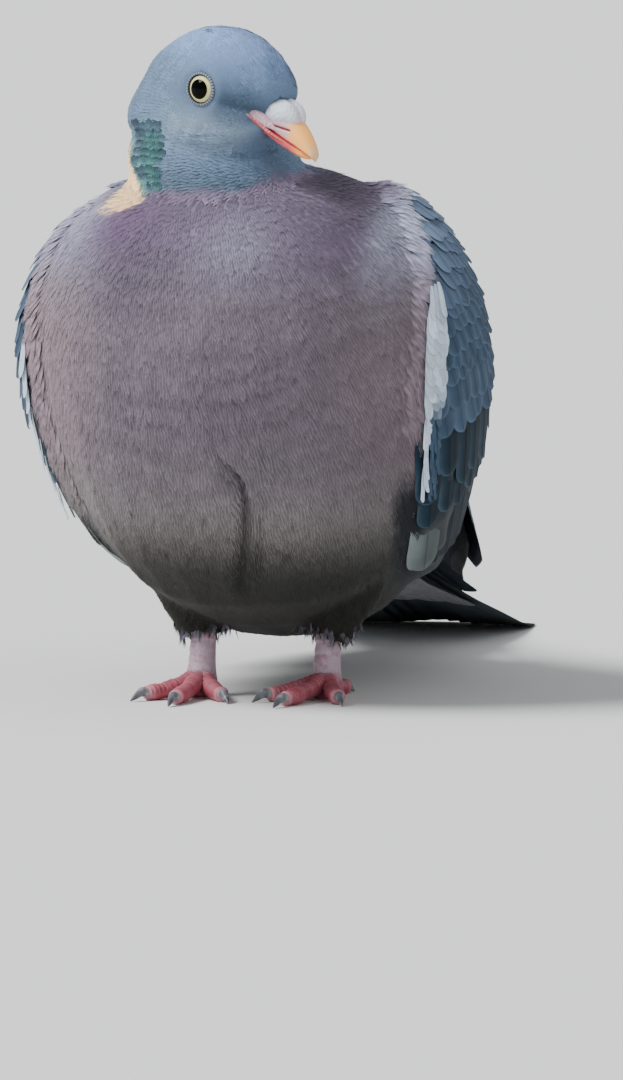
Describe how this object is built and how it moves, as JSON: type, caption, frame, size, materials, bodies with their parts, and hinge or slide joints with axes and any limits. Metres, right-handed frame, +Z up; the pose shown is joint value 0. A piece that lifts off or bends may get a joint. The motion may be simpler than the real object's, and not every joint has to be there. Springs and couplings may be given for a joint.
{
  "type": "common wood pigeon",
  "caption": "Life-size standing pigeon with fluffed breast, folded wings, tail laid back on the floor and head turned to its left, for display.",
  "frame": {"origin": "on the floor, under the middle of the box round the whole bird", "axes": "+Z up, +Y from the breast towards the tail, so the bird faces -Y, +X to the bird's left"},
  "size_m": [0.1378, 0.3244, 0.1984],
  "materials": {
    "head": "soft blue-grey feathers, matt",
    "neck": "pink-grey feathers with a green sheen and a cream patch at the sides",
    "trunk": "fine pinkish-grey breast feathers, paler and greyer on the belly",
    "tail": "smooth slate feathers with a black tip",
    "wing": "slate-blue feathers with paler fringes and a white front edge",
    "flight_feathers": "smooth blackish feathers with pale edges",
    "down": "loose fluffy feathers",
    "bill": "smooth horn, pink at the root and yellow-orange at the tip",
    "bill_root": "smooth pink horn",
    "cere": "powdery whitish skin",
    "eye": "wet and glossy, pale yellow iris with a black pupil",
    "leg_scales": "ringed scaly skin, satin",
    "claw": "smooth grey horn, satin"
  },
  "bodies": {
    "root": {"head": "head", "neck": "neck", "trunk": "trunk", "tail": "tail", "bill_upper": "bill", "bill_lower": "bill_root", "cere": "cere", "eye_left": "eye", "eye_right": "eye", "wing_left": "wing", "wing_right": "wing", "flight_feathers_left": "flight_feathers", "flight_feathers_right": "flight_feathers", "thigh_left": "down", "thigh_right": "down", "shank_left": "leg_scales", "shank_right": "leg_scales", "toe_left_1": "leg_scales", "toe_left_2": "leg_scales", "toe_left_3": "leg_scales", "toe_left_4": "leg_scales", "claw_left_1": "claw", "claw_left_2": "claw", "claw_left_3": "claw", "claw_left_4": "claw", "toe_right_1": "leg_scales", "toe_right_2": "leg_scales", "toe_right_3": "leg_scales", "toe_right_4": "leg_scales", "claw_right_1": "claw", "claw_right_2": "claw", "claw_right_3": "claw", "claw_right_4": "claw"}
  },
  "joints": []
}
